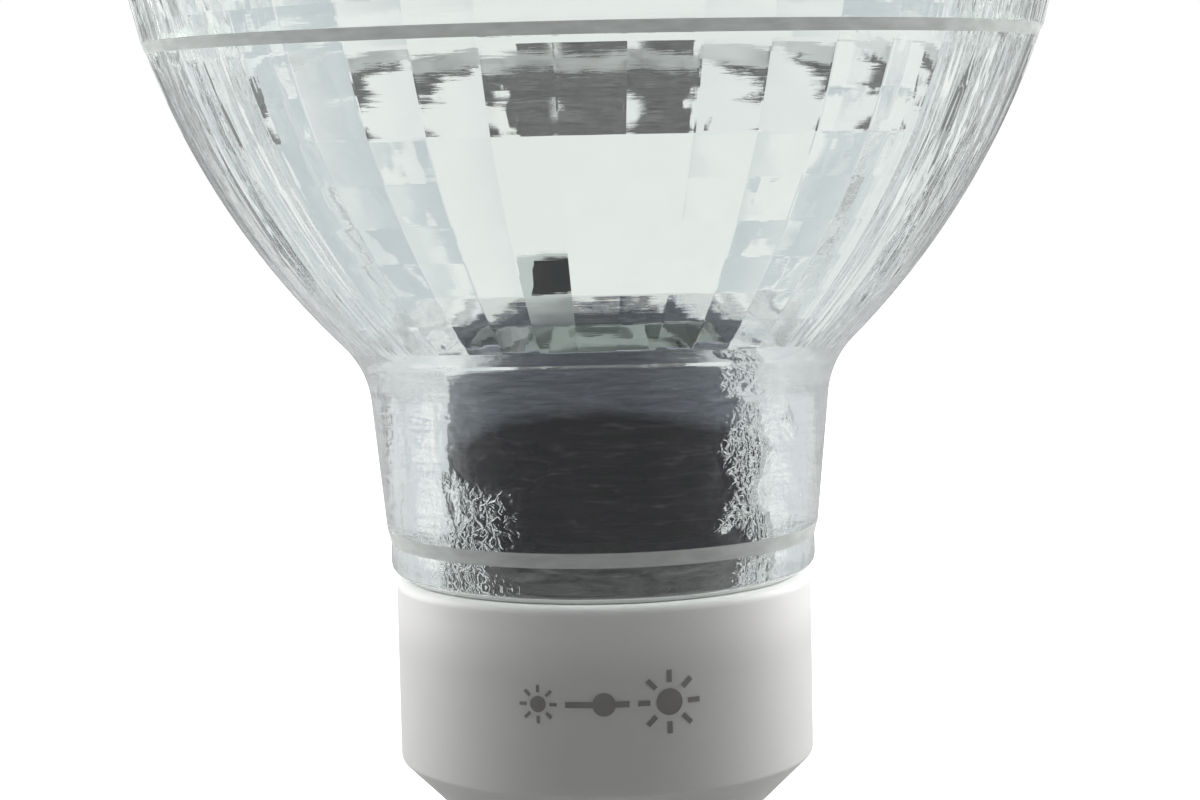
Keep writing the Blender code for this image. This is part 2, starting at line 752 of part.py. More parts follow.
def make_driver_components():
    make_electrolytic("input_capacitor", *INPUT_CAPACITOR)
    make_electrolytic("output_capacitor", *OUTPUT_CAPACITOR)
    make_inductor(*INDUCTOR)
    film = span_box("film_capacitor", FILM_CAPACITOR_LOW, FILM_CAPACITOR_HIGH, SMALL_CHAMFER)
    finish_part(film, "film_box")
    front = DRIVER_BOARD_Y + BOARD_THICKNESS / 2 + GAP
    back = front + CHIP_THICKNESS
    for name, span in (("bridge_rectifier", BRIDGE_SPAN), ("driver_chip", DRIVER_CHIP_SPAN)):
        finish_part(block_on_board(name, span, front, back, CHIP_ROUND), "black_package")
    make_fuse_resistor()


def make_pin_wires():
    """Short insulated leads from the pins' solder tips to the fuse and to the driver board."""
    tip = PIN_TIP_TOP + GAP
    half = PIN_SPACING / 2
    live = [
        (-half, -0.1, tip),
        (-half - 0.3, -0.7, tip + 0.6),
        (-half - 0.9, -2.0, tip + 1.4),
        (-half - 1.2, -3.0, tip + 2.2),
    ]
    neutral = [
        (half, -0.15, tip),
        (half + 0.1, -0.35, tip + 0.6),
        (half + 0.2, -0.45, tip + 1.2),
        (half + 0.2, -0.45, tip + 2.0),
    ]
    finish_part(wire("pin_wire_live", live, PIN_WIRE_RADIUS), "red_insulation")
    finish_part(wire("pin_wire_neutral", neutral, PIN_WIRE_RADIUS), "blue_insulation")


def build():
    make_glass_cup()
    make_lens()
    make_base()
    make_contact_pin("contact_pin_live", -PIN_SPACING / 2)
    make_contact_pin("contact_pin_neutral", PIN_SPACING / 2)
    make_adhesive_ring()
    make_led_board()
    make_thermal_pad()
    make_heat_spreader()
    for number, place in enumerate(SCREW_PLACES, 1):
        make_board_screw(number, place)
    make_leds()
    make_sleeve()
    make_driver_board()
    make_radio_board()
    make_driver_components()
    make_pin_wires()


build()
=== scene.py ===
"""The looks of a smart reflector lamp: a faceted clear glass cup, a thick glass neck round a dark
driver sleeve, a white base collar and two contact pins.

Sizes named here are millimetres, and MM turns them into metres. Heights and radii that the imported
model fixes are read from it.
"""

import math

import bmesh
import bpy
from mathutils import Matrix, Vector, noise


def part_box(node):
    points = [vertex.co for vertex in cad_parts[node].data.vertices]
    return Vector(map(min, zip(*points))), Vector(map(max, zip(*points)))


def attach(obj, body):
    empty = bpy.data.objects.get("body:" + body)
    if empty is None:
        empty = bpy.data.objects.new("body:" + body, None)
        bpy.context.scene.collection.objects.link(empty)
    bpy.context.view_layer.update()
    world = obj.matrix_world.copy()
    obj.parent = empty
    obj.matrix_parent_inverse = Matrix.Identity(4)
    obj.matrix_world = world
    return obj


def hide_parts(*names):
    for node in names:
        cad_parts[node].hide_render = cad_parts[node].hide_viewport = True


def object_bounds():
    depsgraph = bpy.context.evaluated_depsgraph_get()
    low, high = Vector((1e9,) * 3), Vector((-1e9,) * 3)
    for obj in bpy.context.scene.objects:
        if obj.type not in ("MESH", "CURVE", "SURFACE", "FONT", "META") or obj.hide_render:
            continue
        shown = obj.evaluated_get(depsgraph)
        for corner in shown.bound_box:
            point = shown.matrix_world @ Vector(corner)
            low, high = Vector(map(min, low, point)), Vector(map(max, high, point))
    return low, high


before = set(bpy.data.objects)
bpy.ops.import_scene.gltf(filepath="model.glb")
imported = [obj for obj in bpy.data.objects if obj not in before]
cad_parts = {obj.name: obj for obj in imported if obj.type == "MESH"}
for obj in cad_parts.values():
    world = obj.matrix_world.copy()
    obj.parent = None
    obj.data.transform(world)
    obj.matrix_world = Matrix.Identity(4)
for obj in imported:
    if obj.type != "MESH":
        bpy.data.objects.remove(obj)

cad_low, cad_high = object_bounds()

MM = 0.001
BODY = "root"


def node_size(node):
    """A node's outer radius, lowest and highest point, in millimetres."""
    low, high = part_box(node)
    return high[0] / MM, low[2] / MM, high[2] / MM


def corners(node):
    """A node's lowest and highest corners, in millimetres."""
    return [Vector(corner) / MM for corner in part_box(node)]


# --- Sizes -------------------------------------------------------------------------------------

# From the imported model
RIM_RADIUS, GLASS_FOOT, RIM_TOP = node_size("glass_cup")
BASE_RADIUS, BASE_BOTTOM, BASE_TOP = node_size("base_shell")
SLEEVE_RADIUS, SLEEVE_BOTTOM, SLEEVE_TOP = node_size("driver_sleeve")
LENS_RADIUS, LENS_BOTTOM, LENS_TOP = node_size("front_lens")
BOARD_TOP = node_size("led_board")[2]
SEAL_RADIUS, SEAL_BOTTOM, SEAL_TOP = node_size("lens_seal_ring")
PIN_LOW, PIN_HIGH = corners("contact_pin_neutral")
PIN_X = (PIN_LOW.x + PIN_HIGH.x) / 2

# The outside of the glass cup, from its foot up
FOOT_RADIUS = 11.6
NECK_RING_BOTTOM = 14.5
NECK_RING_TOP = 15.3
NECK_RING_STEP = 0.2
NECK_RADIUS_LOW = 11.78
NECK_RADIUS_HIGH = 12.45
NECK_TOP = 22.4
BOWL_FOOT = (13.8, 25.2)
BOWL_TOP = (23.72, 41.0)
BOWL_ARC_RADIUS = 42.0
SHOULDER_ARC_RADIUS = 5.0
RIM_RING_TOP = 41.6
RIM_RING_STEP = 0.28
RIM_FLARE_TOP = 45.6

# The inside of the glass cup
NECK_BORE = 9.2
BORE_TOP = 26.0
GLASS_WALL = 2.0
WALL_WAIST_HEIGHT = 36.75
WALL_GROWTH = 0.04
FACETS_AROUND = 40
FACET_HALF_DEG = 180.0 / FACETS_AROUND
FACET_ROW_HEIGHTS = (1.45, 1.45, 1.65, 1.75, 2.05, 2.05, 2.1, 2.1, 2.1)
FACETS_BOTTOM = 26.35
FACET_TURN_DEG = 4.2
FACET_EDGE = 0.1
FACET_TYPICAL_RADIUS = 20.0
FACET_EDGE_DEG = math.degrees(FACET_EDGE / FACET_TYPICAL_RADIUS)
FACET_CORNER_CUT = 0.3
LENS_SEAT = 44.2
LENS_SEAT_RADIUS = 22.5
LENS_BORE = 23.6

# The base, the pins and the silicone
BASE_CHAMFER = 2.6
BASE_FLOOR = 1.8
BASE_BORE = 9.9
PIN_NECK_RADIUS = 1.5
PIN_RIVET_RADIUS = 2.3
PIN_TIP_RADIUS = 0.8
PIN_HEAD_LENGTH = 2.8
PIN_RECESS_RADIUS = 2.9
PIN_RECESS_DEPTH = 0.4
PIN_HOLE_RADIUS = 1.62
GLUE_BOTTOM = 9.8

# The light emitters, the front lens and the sleeve
WHITE_LED_SIZE = (1.6, 2.0)
COLOUR_LED_WELL_RADIUS = 2.0
COLOUR_LED_WELL_DEPTH = 0.2
LED_GAP = 0.03
LENS_BEAD_PITCH = 1.5
LENS_BEAD_HEIGHT = 0.22
LENS_EDGE = 1.2
SLEEVE_WALL = 0.25

# The printed sign: how far round the collar and up its middle is, and from there the place along
# and the size of each sun and of the slider's knob
MARK_CENTRE = (0.17, 7.43)
SMALL_SUN = (-3.75, 1.0)
LARGE_SUN = (3.1, 1.65)
SLIDER_ENDS = (-2.3, 1.0)
SLIDER_WIDTH = 0.3
SLIDER_KNOB = (-0.3, 0.6)
INK_HEIGHT = 0.03
INK_SINK = 0.1

SMOOTH_SEGMENTS = 160
SHARP_DEG = 35.0

# Looks. The folds' angles are in radians from the front: where they start, are full, fade and end
GLASS_IOR = 1.5
GLASS_SHADE = (0.9, 0.93, 0.92)
GRAIN_DEPTH = 0.01
FOLD_ANGLES = (0.75, 1.2, 1.7, 2.1)

# The studio
FLOOR_GAP = 0.05
THROUGH_WHITE = 0.96
WHITE = (1.0, 1.0, 1.0, 1.0)
BLUE_GREY = (0.6, 0.65, 0.69, 1.0)
FLOOR_WHITE = (0.985, 1.0, 0.99)
FLOOR_BLUE_GREY = (0.62, 0.67, 0.71)


# --- Mesh helpers ------------------------------------------------------------------------------


def add_piece(name, mesh, *replaced, slot=None):
    piece = bpy.data.objects.new(name, mesh)
    bpy.context.scene.collection.objects.link(piece)
    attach(piece, BODY)
    if replaced:
        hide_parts(*replaced)
    return piece


def mesh_from(name, points, faces):
    mesh = bpy.data.meshes.new(name)
    mesh.from_pydata([Vector(p) * MM for p in points], [], faces)
    mesh.update()
    return mesh


def shade_by_angle(mesh, degrees=SHARP_DEG):
    mesh.shade_smooth()
    mesh.set_sharp_from_angle(angle=math.radians(degrees))


def face_outward(mesh):
    work = bmesh.new()
    work.from_mesh(mesh)
    bmesh.ops.recalc_face_normals(work, faces=work.faces)
    work.to_mesh(mesh)
    work.free()


def swing(centre, spoke, angle):
    """Where the end of a spoke from a centre is when it has turned by an angle."""
    c = math.cos(angle)
    s = math.sin(angle)
    return centre.x + spoke.x * c - spoke.y * s, centre.y + spoke.x * s + spoke.y * c


def rounded(profile, radii, steps=4):
    """The profile with each corner that radii names, by its place in the list, made an arc."""
    points = []
    for i, corner in enumerate(profile):
        radius = radii.get(i, 0.0)
        if not radius:
            points.append(corner)
            continue
        here = Vector(corner)
        before = (Vector(profile[i - 1]) - here).normalized()
        after = (Vector(profile[(i + 1) % len(profile)]) - here).normalized()
        half_angle = before.angle(after) / 2
        reach = radius / math.tan(half_angle)
        centre = here + (before + after).normalized() * radius / math.sin(half_angle)
        start = here + before * reach - centre
        end = here + after * reach - centre
        turn = start.angle_signed(end)
        points += [swing(centre, start, -turn * k / steps) for k in range(steps + 1)]
    return points


def arc_centre(start, end, radius):
    """The centre of an arc that bulges to the left of the way from start to end, or to the right
    of it if radius is negative."""
    way = end - start
    left = Vector((-way.y, way.x)).normalized()
    reach = math.sqrt(radius**2 - (way.length / 2) ** 2)
    return (start + end) / 2 - left * math.copysign(reach, radius)


def arc(start, end, radius, steps):
    """Points on such an arc after start, up to and with end."""
    start = Vector(start)
    end = Vector(end)
    centre = arc_centre(start, end, radius)
    turn = (end - centre).angle_signed(start - centre)
    return [swing(centre, start - centre, turn * i / steps) for i in range(1, steps + 1)]


def circle(radius, height, segments, centre=(0.0, 0.0)):
    """Points round a level circle."""
    points = []
    for i in range(segments):
        turn = 2 * math.pi * i / segments
        points.append((centre[0] + radius * math.cos(turn), centre[1] + radius * math.sin(turn), height))
    return points


def band(a, b, count):
    """Faces between two rings of count points, which start at a and b in a list of points."""
    faces = []
    for i in range(count):
        j = (i + 1) % count
        faces.append((a + i, b + i, b + j, a + j))
    return faces


def turned_mesh(name, profile, centre=(0.0, 0.0), segments=SMOOTH_SEGMENTS):
    """A closed turned body from (radius, height) points; it closes on itself or on the axis."""
    on_axis = 1e-6
    points = []
    rings = []
    for radius, height in profile:
        if radius < on_axis:
            points.append((centre[0], centre[1], height))
            rings.append([len(points) - 1] * segments)
            continue
        rings.append(range(len(points), len(points) + segments))
        points += circle(radius, height, segments, centre)
    closed = profile[0][0] > on_axis or profile[-1][0] > on_axis
    faces = []
    for k in range(len(rings) if closed else len(rings) - 1):
        a = rings[k]
        b = rings[(k + 1) % len(rings)]
        for i in range(segments):
            j = (i + 1) % segments
            face = [a[i], a[j], b[j], b[i]]
            faces.append([v for n, v in enumerate(face) if v not in face[:n]])
    mesh = mesh_from(name, points, faces)
    face_outward(mesh)
    shade_by_angle(mesh)
    return mesh


# --- Glass cup ---------------------------------------------------------------------------------


def bowl_radius(height):
    """The outer radius of the cup's bowl at a height."""
    centre = arc_centre(Vector(BOWL_TOP), Vector(BOWL_FOOT), BOWL_ARC_RADIUS)
    return centre.x + math.sqrt(BOWL_ARC_RADIUS**2 - (height - centre.y) ** 2)


def facet_corners():
    """The inner corners of the facet rows, from the bottom up. The wall is thinnest at its waist."""
    heights = [FACETS_BOTTOM]
    for row in FACET_ROW_HEIGHTS:
        heights.append(heights[-1] + row)
    small = 0.01
    rows = []
    for height in heights:
        slope = (bowl_radius(height + small) - bowl_radius(height)) / small
        wall = GLASS_WALL + WALL_GROWTH * abs(height - WALL_WAIST_HEIGHT)
        rows.append(Vector((bowl_radius(height) - wall * math.hypot(1.0, slope), height)))
    return rows


def facet_profile():
    """The facet rows as rings, with a narrow strip on both sides of each corner so that its edge
    is slightly round."""
    rows = facet_corners()
    points = [rows[0]]
    for before, here, after in zip(rows, rows[1:], rows[2:]):
        low = here + (before - here).normalized() * FACET_EDGE
        high = here + (after - here).normalized() * FACET_EDGE
        points += [low, here * 0.5 + (low + high) * 0.25, high]
    points.append(rows[-1])
    return points


def outer_profile():
    """The cup's outside, from the lens seat's edge over the rim and down to the foot's edge."""
    profile = [
        (LENS_BORE, RIM_TOP),
        (RIM_RADIUS, RIM_TOP),
        (RIM_RADIUS, RIM_FLARE_TOP),
        (BOWL_TOP[0] + RIM_RING_STEP, RIM_RING_TOP),
        BOWL_TOP,
    ]
    profile += arc(BOWL_TOP, BOWL_FOOT, BOWL_ARC_RADIUS, 28)
    profile += arc(BOWL_FOOT, (NECK_RADIUS_HIGH, NECK_TOP), -SHOULDER_ARC_RADIUS, 10)
    ring = len(profile)
    profile += [
        (NECK_RADIUS_LOW, NECK_RING_TOP),
        (NECK_RADIUS_LOW - NECK_RING_STEP, NECK_RING_BOTTOM),
        (FOOT_RADIUS, GLASS_FOOT),
        (NECK_BORE, GLASS_FOOT),
    ]
    radii = {1: 0.35, 2: 3.0, 3: 0.15, 4: 0.15, ring: 0.12, ring + 1: 0.12, ring + 2: 0.6}
    return rounded(profile, radii)


def cup_rings():
    """The cup's closed profile as (radius, height, faceted): the outside, the bore, the facets and
    the lens seat."""
    rings = [(radius, height, False) for radius, height in outer_profile()]
    rings.append((NECK_BORE, BORE_TOP, False))
    rings += [(corner.x, corner.y, True) for corner in facet_profile()]
    rings += [(LENS_SEAT_RADIUS, LENS_SEAT, False), (LENS_BORE, LENS_SEAT, False)]
    return rings


def facet_reach(radius, offset):
    """How far from the axis a flat facet is, at an angle from its middle, in degrees."""
    return radius * math.cos(math.radians(FACET_HALF_DEG)) / math.cos(math.radians(offset))


def cup_points(rings):
    """The cup's points, ring by ring. Each facet has six, and the one at its corner is cut back."""
    half = FACET_HALF_DEG
    edge = FACET_EDGE_DEG
    points = []
    for radius, height, faceted in rings:
        for facet in range(FACETS_AROUND):
            for offset in (-half, -half + edge, -half / 2, 0.0, half / 2, half - edge):
                reach = radius
                if faceted:
                    reach = facet_reach(radius, offset)
                    if offset == -half:
                        reach -= FACET_CORNER_CUT * (reach - facet_reach(radius, half - edge))
                turn = math.radians(FACET_TURN_DEG + facet * 2 * half + half + offset)
                points.append((reach * math.sin(turn), -reach * math.cos(turn), height))
    return points


def make_glass_cup():
    """Round outside; inside, flat facets with slightly round edges, and a round bore and seat."""
    rings = cup_rings()
    points = cup_points(rings)
    count = len(points) // len(rings)
    faces = []
    for k in range(len(rings)):
        faces += band(k * count, (k + 1) % len(rings) * count, count)
    mesh = mesh_from("glass_cup_pressed", points, faces)
    face_outward(mesh)
    mesh.shade_smooth()
    facet_rings = [k for k, ring in enumerate(rings) if ring[2]]
    first = facet_rings[0]
    last = facet_rings[-1]
    bore = first - 2
    for index, polygon in enumerate(mesh.polygons):
        ring = index // count
        if first <= ring < last:
            polygon.use_smooth = False
        if ring == bore:
            polygon.material_index = 1
        elif ring < bore and on_moulded_ring(polygon.center.z / MM):
            polygon.material_index = 2
    mark_sharp_rings(mesh, {0, bore, bore + 1, first, last, last + 1, len(rings) - 1}, count)
    return add_piece("pressed_glass_cup", mesh, "glass_cup", slot="clear_glass")


def on_moulded_ring(height):
    """Whether a height on the outside is on one of the two ground rings."""
    on_rim = BOWL_TOP[1] < height < RIM_RING_TOP
    return on_rim or NECK_RING_BOTTOM < height < NECK_RING_TOP


def mark_sharp_rings(mesh, rings, count):
    for e in mesh.edges:
        a, b = e.vertices
        if a // count == b // count and a // count in rings:
            e.use_edge_sharp = True


# --- Materials ---------------------------------------------------------------------------------


class Nodes:
    """A shader's tree, with short ways to add and link its nodes. In names of inputs, an
    underscore stands for a space."""

    def __init__(self, tree, place):
        self.tree = tree
        self.place = self.add("TexCoord").outputs[place]

    def add(self, kind, **values):
        node = self.tree.nodes.new("ShaderNode" + kind)
        for name, value in values.items():
            self.feed(node.inputs[name.replace("_", " ")], value)
        return node

    def feed(self, socket, value):
        """Links a socket to an output, or gives it a plain value."""
        if isinstance(value, bpy.types.NodeSocket):
            self.tree.links.new(value, socket)
        else:
            socket.default_value = value

    def split(self, vector):
        return self.add("SeparateXYZ", Vector=vector).outputs

    def noise(self, scale, detail=4.0, rough=0.5, stretch=(1.0, 1.0, 1.0), distort=0.0, at=None):
        """Noise whose scale is features per metre, stretched along the axes, or noise at a vector."""
        if at is None:
            at = self.add("Mapping", Vector=self.place, Scale=stretch).outputs["Vector"]
        values = {"Scale": scale, "Detail": detail, "Roughness": rough, "Distortion": distort}
        return self.add("TexNoise", Vector=at, **values).outputs["Fac"]

    def math(self, kind, a, b=0.0):
        node = self.add("Math")
        node.operation = kind
        self.feed(node.inputs[0], a)
        self.feed(node.inputs[1], b)
        return node.outputs[0]

    def times(self, *factors):
        """All the factors multiplied."""
        product = factors[0]
        for factor in factors[1:]:
            product = self.math("MULTIPLY", product, factor)
        return product

    def slope(self, value, start, end, low=0.0, high=1.0, kind="LINEAR"):
        """A straight slope from low at start to high at end, and level outside them."""
        node = self.add("MapRange", Value=value, From_Min=start, From_Max=end, To_Min=low, To_Max=high)
        node.interpolation_type = kind
        return node.outputs["Result"]

    def ease(self, value, start, end, low=0.0, high=1.0):
        """A smooth step from low at start to high at end."""
        return self.slope(value, start, end, low, high, "SMOOTHSTEP")

    def ramp(self, factor, *stops):
        """A colour ramp from (place, colour) stops; a plain number is a grey."""
        node = self.add("ValToRGB", Fac=factor)
        elements = node.color_ramp.elements
        while len(elements) < len(stops):
            elements.new(0.5)
        for element, (place, colour) in zip(elements, stops):
            element.position = place
            if isinstance(colour, (int, float)):
                colour = (colour, colour, colour)
            element.color = (*colour, 1.0)
        return node.outputs["Color"]

    def mix(self, kind, factor, a, b):
        """The FLOAT or RGBA value a where the factor is 0, and b where it is 1."""
        node = self.add("Mix")
        node.data_type = kind
        for socket, value in zip([s for s in node.inputs if s.enabled], (factor, a, b)):
            self.feed(socket, value)
        return next(s for s in node.outputs if s.enabled)

    def switch(self, factor, first, second):
        """The first shader where the factor is 0, and the second where it is 1."""
        node = self.add("MixShader", Fac=factor)
        self.feed(node.inputs[1], first)
        self.feed(node.inputs[2], second)
        return node.outputs[0]

    def rays(self):
        """Which kind of ray it is, by name."""
        return self.add("LightPath").outputs


class Finish(Nodes):
    """A new material on the object's own coordinates."""

    def __init__(self, name):
        self.material = bpy.data.materials.new(name)
        self.material.use_nodes = True
        super().__init__(self.material.node_tree, "Object")
        self.shader = self.tree.nodes["Principled BSDF"]

    def set(self, **values):
        """Gives the shader's inputs plain values or links."""
        for name, value in values.items():
            self.feed(self.shader.inputs[name.replace("_", " ")], value)

    def tones(self, pattern, dark, pale):
        """The shader's colour from dark to pale, as a pattern goes."""
        self.set(Base_Color=self.ramp(pattern, (0.3, dark), (0.7, pale)))

    def bump(self, height, depth, strength=1.0, after=None):
        """The surface's tilt from a height between 0 and 1, which is depth millimetres high."""
        node = self.add("Bump", Height=height, Distance=depth * MM, Strength=strength)
        if after is not None:
            self.feed(node.inputs["Normal"], after)
        return node.outputs["Normal"]

    def show(self, surface):
        self.feed(self.tree.nodes["Material Output"].inputs["Surface"], surface)

    def let_lamps_through(self, tint):
        """Shadow rays pass the glass, so what is inside it is lit."""
        clear = self.add("BsdfTransparent", Color=(*tint, 1.0)).outputs[0]
        self.show(self.switch(self.rays()["Is Shadow Ray"], self.shader.outputs[0], clear))


def clear_glass():
    """Pressed glass: slow waves from the mould and fine level draw marks."""
    n = Finish("clear_pressed_glass")
    n.set(Base_Color=(0.94, 0.965, 0.95, 1.0), Roughness=0.0, IOR=GLASS_IOR, Transmission_Weight=1.0)
    waves = n.noise(220.0, 3.0, stretch=(1.0, 1.0, 0.6))
    lines = n.noise(1000.0, 5.0, stretch=(0.2, 0.2, 3.0))
    marks = n.bump(lines, 0.002, after=n.bump(waves, 0.03))
    n.set(Normal=n.bump(upright_folds(n), 1.1, after=marks))
    n.let_lamps_through(GLASS_SHADE)
    return n.material


def upright_folds(n):
    """Folds that run up the bowl's two sides, stronger on the right, as a height from 0 to 1."""
    x, y, z = n.split(n.place)
    around = n.math("ARCTAN2", x, n.times(y, -1.0))
    folds = n.noise(8.0, 3.0, at=n.add("CombineXYZ", X=around, Z=n.times(z, 7.0)).outputs["Vector"])
    zones = []
    for side, strength in ((-1.0, 0.6), (1.0, 1.0)):
        start, full, fading, end = (side * angle for angle in FOLD_ANGLES)
        zones.append(n.times(n.ease(around, start, full, 0.0, strength), n.ease(around, end, fading)))
    on_bowl = n.ease(z, 24.0 * MM, 28.0 * MM)
    return n.times(folds, n.math("ADD", *zones), on_bowl)


def bore_glass():
    """The neck's inner wall: level draw marks all round, and crumpled smears of clear adhesive down
    both sides of the front."""
    n = Finish("neck_bore_glass")
    n.set(Base_Color=(0.95, 0.965, 0.955, 1.0), IOR=GLASS_IOR, Transmission_Weight=1.0)
    x, _, z = n.split(n.place)
    drift = n.slope(n.noise(260.0, 3.0), 0.3, 0.7, -1.2 * MM, 1.2 * MM)
    across = n.math("ADD", x, drift)
    right = n.times(n.ease(across, 5.6 * MM, 6.6 * MM), n.ease(across, 7.8 * MM, 6.8 * MM, 0.04, 1.0))
    left = n.times(n.ease(across, -3.4 * MM, -5.2 * MM), n.ease(across, -7.8 * MM, -6.6 * MM, 0.04, 0.6))
    left = n.times(left, n.ease(n.math("ADD", z, drift), 19.2 * MM, 17.6 * MM))
    smear = n.math("MAXIMUM", right, left)
    lines = n.noise(1100.0, 5.0, 0.6, stretch=(0.3, 0.3, 2.2), distort=0.4)
    pebbles = n.noise(1900.0, 2.0, 0.5, distort=1.5)
    height = n.math("ADD", n.times(lines, 0.3), n.times(pebbles, smear, 3.5))
    waves = n.bump(n.noise(300.0, 3.0), 0.18)
    n.set(Normal=n.bump(height, 0.14, after=waves), Roughness=n.slope(smear, 0.0, 1.0, 0.0, 0.03))
    n.let_lamps_through(GLASS_SHADE)
    return n.material


def ground_glass():
    """The two moulded rings, ground with a grain: in front grey-green and hardly clear, a painted shade,
    and clear behind.
    """
    n = Finish("ground_ring_with_painted_shade")
    n.set(IOR=GLASS_IOR)
    # Painted shade: the rings are hardly clear, and show their grey-green, only on the front half.
    n.set(Transmission_Weight=n.ease(n.split(n.place)["Y"], -2.0 * MM, 4.0 * MM, 0.2, 0.97))
    grain = n.noise(2600.0, 4.0, stretch=(0.3, 0.3, 1.0))
    n.tones(grain, (0.68, 0.71, 0.685), (0.84, 0.87, 0.845))
    n.set(Roughness=n.slope(grain, 0.3, 0.7, 0.3, 0.5), Normal=n.bump(grain, 2 * GRAIN_DEPTH))
    n.let_lamps_through((0.7, 0.73, 0.71))
    return n.material


def white_plastic():
    """Satin and slightly translucent. Its top band under the bright glass is painted paler: painted
    light from the glass.
    """
    n = Finish("satin_white_plastic")
    n.set(Subsurface_Weight=0.25, Subsurface_Scale=2.0 * MM, Subsurface_Radius=(1.0, 0.95, 0.9), IOR=1.5)
    cloud = n.noise(150.0, 3.0)
    usual = n.ramp(cloud, (0.3, (0.77, 0.765, 0.75)), (0.7, (0.8, 0.795, 0.78)))
    # Painted light: these paler tones stand for the light that the glass throws on the collar's top
    # band.
    pale = n.ramp(cloud, (0.3, (0.94, 0.925, 0.905)), (0.7, (0.97, 0.955, 0.935)))
    painted_light_from_glass = n.ease(n.split(n.place)["Z"], 8.5 * MM, 11.5 * MM)
    grain = n.noise(9000.0, 3.0)
    n.set(Base_Color=n.mix("RGBA", painted_light_from_glass, usual, pale))
    n.set(Roughness=n.slope(grain, 0.3, 0.7, 0.38, 0.52), Normal=n.bump(grain, GRAIN_DEPTH, 0.6))
    return n.material


def sleeve_film():
    """Dark wrinkled insulating film: nearly black, with painted light and reflection near its top as a
    paler slate above a bowed line, and mottled grey at the foot of the glass."""
    n = Finish("dark_sleeve_film")
    x, _, z = n.split(n.place)
    streaks = n.noise(1100.0, 6.0, 0.65, stretch=(0.35, 0.35, 2.0), distort=0.8)
    patches = n.noise(160.0, 3.0, stretch=(1.0, 1.0, 1.3))
    deep = n.ramp(
        streaks,
        (0.35, (0.001, 0.001, 0.002)),
        (0.56, (0.011, 0.006, 0.017)),
        (0.72, (0.07, 0.055, 0.08)),
    )
    # Painted light: these paler slate tones stand for light and reflection seen near the film's top.
    painted_light_slate = n.ramp(
        streaks,
        (0.3, (0.1, 0.108, 0.135)),
        (0.56, (0.2, 0.21, 0.25)),
        (0.75, (0.36, 0.36, 0.4)),
    )
    mottled = n.ramp(
        streaks,
        (0.35, (0.07, 0.065, 0.065)),
        (0.56, (0.19, 0.18, 0.185)),
        (0.75, (0.4, 0.38, 0.39)),
    )
    uneven = n.math("ADD", z, n.times(patches, 1.2 * MM))
    # The painted light ends at a bowed line, lower towards the sides.
    bowed = n.math("ADD", uneven, n.times(x, x, 37.0))
    painted_light_above_bow = n.slope(bowed, 22.7 * MM, 23.6 * MM)
    foot = n.ease(uneven, 15.6 * MM, 14.8 * MM)
    n.set(Base_Color=n.mix("RGBA", foot, n.mix("RGBA", painted_light_above_bow, deep, painted_light_slate), mottled))
    n.set(Specular_IOR_Level=0.14, Roughness=n.slope(patches, 0.35, 0.65, 0.18, 0.5))
    n.set(Normal=n.bump(streaks, 0.2))
    return n.material


def board_mask():
    """Grey-green solder mask, clouded and dull."""
    n = Finish("pale_solder_mask")
    cloud = n.noise(400.0, 4.0)
    n.tones(cloud, (0.22, 0.25, 0.235), (0.27, 0.3, 0.285))
    n.set(Specular_IOR_Level=0.08, Roughness=n.slope(cloud, 0.0, 1.0, 0.3, 0.5))
    n.set(Normal=n.bump(n.noise(3000.0), GRAIN_DEPTH))
    return n.material


def radio_board():
    """Pale glass-fibre board that some of the light behind it shines through."""
    n = Finish("pale_radio_board")
    cloud = n.noise(500.0, 4.0)
    n.tones(cloud, (0.74, 0.77, 0.76), (0.84, 0.87, 0.86))
    n.set(Transmission_Weight=0.85, IOR=1.2, Roughness=n.slope(cloud, 0.0, 1.0, 0.4, 0.6))
    n.set(Normal=n.bump(n.noise(3000.0), GRAIN_DEPTH))
    return n.material


def lens_plastic():
    """Clear polycarbonate with small cells."""
    n = Finish("prismatic_lens_plastic")
    n.set(Base_Color=(0.95, 0.96, 0.96, 1.0), Roughness=0.12, IOR=1.58, Transmission_Weight=1.0)
    cells = n.add("TexVoronoi", Vector=n.place, Scale=900.0)
    n.set(Normal=n.bump(cells.outputs["Distance"], 0.2, 0.5))
    n.let_lamps_through((0.85, 0.86, 0.86))
    return n.material


def plain_finish(name, dark, pale, roughness, metallic=0.0, shine=0.5):
    """Two tones in soft clouds, with a fine grain in the roughness and the surface."""
    grain = 2500.0
    n = Finish(name)
    n.tones(n.noise(grain / 8, 4.0), dark, pale)
    fine = n.noise(grain, 4.0)
    n.set(Roughness=n.slope(fine, 0.3, 0.7, roughness - 0.08, roughness + 0.08))
    n.set(Normal=n.bump(fine, GRAIN_DEPTH), Metallic=metallic, Specular_IOR_Level=shine)
    return n.material


# --- Base, lens, sleeve and pins ---------------------------------------------------------------


def cut_from(piece, cutters):
    """Takes the cutters' shapes out of a piece for good."""
    for cutter in cutters:
        boolean = piece.modifiers.new("cut", "BOOLEAN")
        boolean.operation = "DIFFERENCE"
        boolean.solver = "EXACT"
        boolean.object = cutter
    depsgraph = bpy.context.evaluated_depsgraph_get()
    mesh = bpy.data.meshes.new_from_object(piece.evaluated_get(depsgraph))
    piece.modifiers.clear()
    piece.data = mesh
    for cutter in cutters:
        bpy.data.objects.remove(cutter)


def upright_cylinder(name, radius, low, high, x=0.0):
    """A plain cylinder that cuts a round hole."""
    mesh = turned_mesh(name, [(0.0, high), (radius, high), (radius, low), (0.0, low)], (x, 0.0), 64)
    cutter = bpy.data.objects.new(name, mesh)
    bpy.context.scene.collection.objects.link(cutter)
    return cutter


